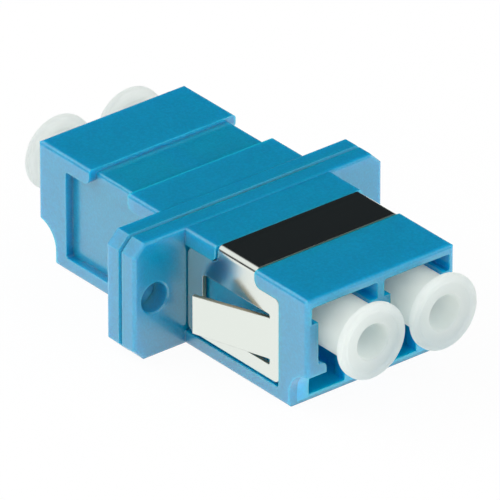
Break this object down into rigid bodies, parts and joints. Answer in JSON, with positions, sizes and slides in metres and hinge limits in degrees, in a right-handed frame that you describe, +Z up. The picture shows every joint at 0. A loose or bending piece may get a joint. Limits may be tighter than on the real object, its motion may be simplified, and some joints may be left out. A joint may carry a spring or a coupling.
{
  "type": "duplex lc fibre optic adapter",
  "caption": "Flanged duplex fibre adapter with keyed ports at front and rear, split sleeves inside, a snap-in spring clip over the front half and push-in dust caps.",
  "frame": {"origin": "centre of the flange's front face, midway between its two screw holes", "axes": "+X along the optical axes towards the front half, the one with the panel clip; +Y across the two ports; +Z up, away from the latch slots"},
  "size_m": [0.0342, 0.0216, 0.009],
  "materials": {
    "housing": "moulded PBT, light blue, satin, faint grain",
    "clip": "bright spring steel, mirror smooth",
    "sleeve": "polished zirconia",
    "cap": "natural polyethylene, translucent white"
  },
  "bodies": {
    "adapter": {"front_housing": "housing", "rear_housing": "housing", "panel_clip": "clip", "split_sleeve_left": "sleeve", "split_sleeve_right": "sleeve"},
    "cap_front_left": {"dust_cap_front_left": "cap"},
    "cap_front_right": {"dust_cap_front_right": "cap"},
    "cap_rear_left": {"dust_cap_rear_left": "cap"},
    "cap_rear_right": {"dust_cap_rear_right": "cap"}
  },
  "joints": [
    {"name": "front_left_cap_pull", "type": "slide", "parent": "adapter", "child": "cap_front_left", "axis": [1, 0, 0], "range_m": [-0.00085, 0.018]},
    {"name": "front_right_cap_pull", "type": "slide", "parent": "adapter", "child": "cap_front_right", "axis": [1, 0, 0], "range_m": [-0.00085, 0.018]},
    {"name": "rear_left_cap_pull", "type": "slide", "parent": "adapter", "child": "cap_rear_left", "axis": [-1, 0, 0], "range_m": [0, 0.018]},
    {"name": "rear_right_cap_pull", "type": "slide", "parent": "adapter", "child": "cap_rear_right", "axis": [-1, 0, 0], "range_m": [0, 0.018]}
  ]
}
